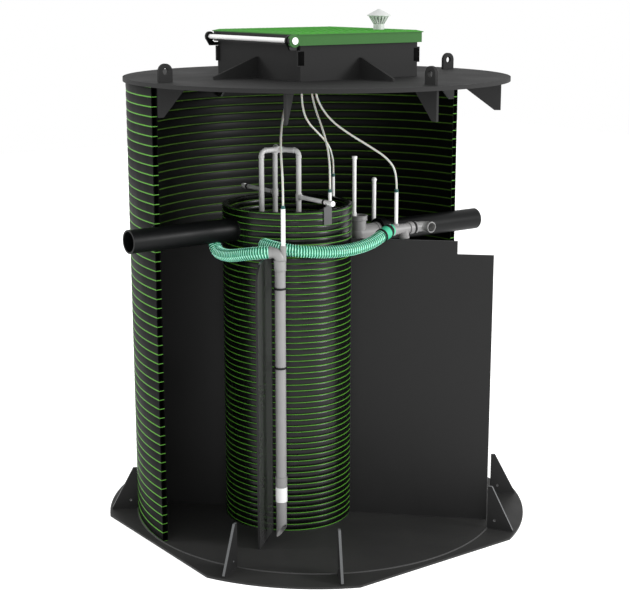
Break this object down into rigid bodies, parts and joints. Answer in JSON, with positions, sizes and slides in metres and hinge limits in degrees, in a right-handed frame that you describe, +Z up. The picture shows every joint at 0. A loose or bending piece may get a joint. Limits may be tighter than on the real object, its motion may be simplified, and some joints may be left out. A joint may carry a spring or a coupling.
{
  "type": "packaged sewage treatment plant",
  "caption": "Cut-away round plastic sewage treatment plant: wound tank with inner tank, partitions, pipes, air tubes and hoses, and a hinged lid on a square riser.",
  "frame": {"origin": "centre of the tank on the underside of the base plate", "axes": "+Z up; the remaining half of the wall is on the +Y side, the inlet on -X, the outlet on +X"},
  "size_m": [2.112, 1.91, 2.508],
  "materials": {
    "base_sheet": "smooth",
    "profile_wall": "spiral wound, green seams",
    "top_sheet": "satin",
    "lid_sheet": "satin",
    "vent_plastic": "satin",
    "rod_plastic": "satin",
    "black_pipe": "satin",
    "grey_pvc": "satin",
    "white_pipe": "satin",
    "hose_fitting": "satin",
    "black_rubber": "satin",
    "air_hose": "satin",
    "spiral_hose": "satin"
  },
  "bodies": {
    "plant": {"base_plate": "base_sheet", "base_gussets": "base_sheet", "partition_left": "base_sheet", "partition_right": "base_sheet", "front_baffle": "base_sheet", "tank_wall_right": "profile_wall", "tank_wall_back_right": "profile_wall", "tank_wall_back_left": "profile_wall", "tank_wall_left": "profile_wall", "inner_tank_right": "profile_wall", "inner_tank_back": "profile_wall", "inner_tank_left": "profile_wall", "inner_tank_front": "profile_wall", "top_plate": "top_sheet", "top_gussets": "top_sheet", "lifting_eyes": "top_sheet", "riser_box": "top_sheet", "riser_gussets": "top_sheet", "hinge_brackets": "top_sheet", "inlet_pipe": "black_pipe", "outlet_pipe": "black_pipe", "outlet_coupling": "black_pipe", "outlet_tee": "grey_pvc", "sampling_tube": "grey_pvc", "airlift_pipe": "grey_pvc", "airlift_elbow": "grey_pvc", "delivery_tee": "grey_pvc", "delivery_elbow": "grey_pvc", "rim_bracket": "grey_pvc", "aerator_manifold": "grey_pvc", "side_pipes": "grey_pvc", "breather_tube": "white_pipe", "airlift_sleeve": "white_pipe", "air_tubes": "white_pipe", "pipe_clamps": "white_pipe", "hose_connectors": "hose_fitting", "hose_glands": "hose_fitting", "hose_cuff": "hose_fitting", "rubber_rings": "black_rubber", "air_hose_1": "air_hose", "air_hose_2": "air_hose", "air_hose_3": "air_hose", "air_hose_4": "air_hose", "return_hose": "spiral_hose", "delivery_hose": "spiral_hose"},
    "lid": {"lid_skirt": "lid_sheet", "lid_cover": "lid_sheet", "vent_body": "vent_plastic", "vent_cap": "vent_plastic", "hinge_rod": "rod_plastic"}
  },
  "joints": [
    {"name": "lid_hinge", "type": "hinge", "parent": "plant", "child": "lid", "pos_m": [-0.387, 0, 2.376], "axis": [0, -1, 0], "range_deg": [0, 100]}
  ]
}
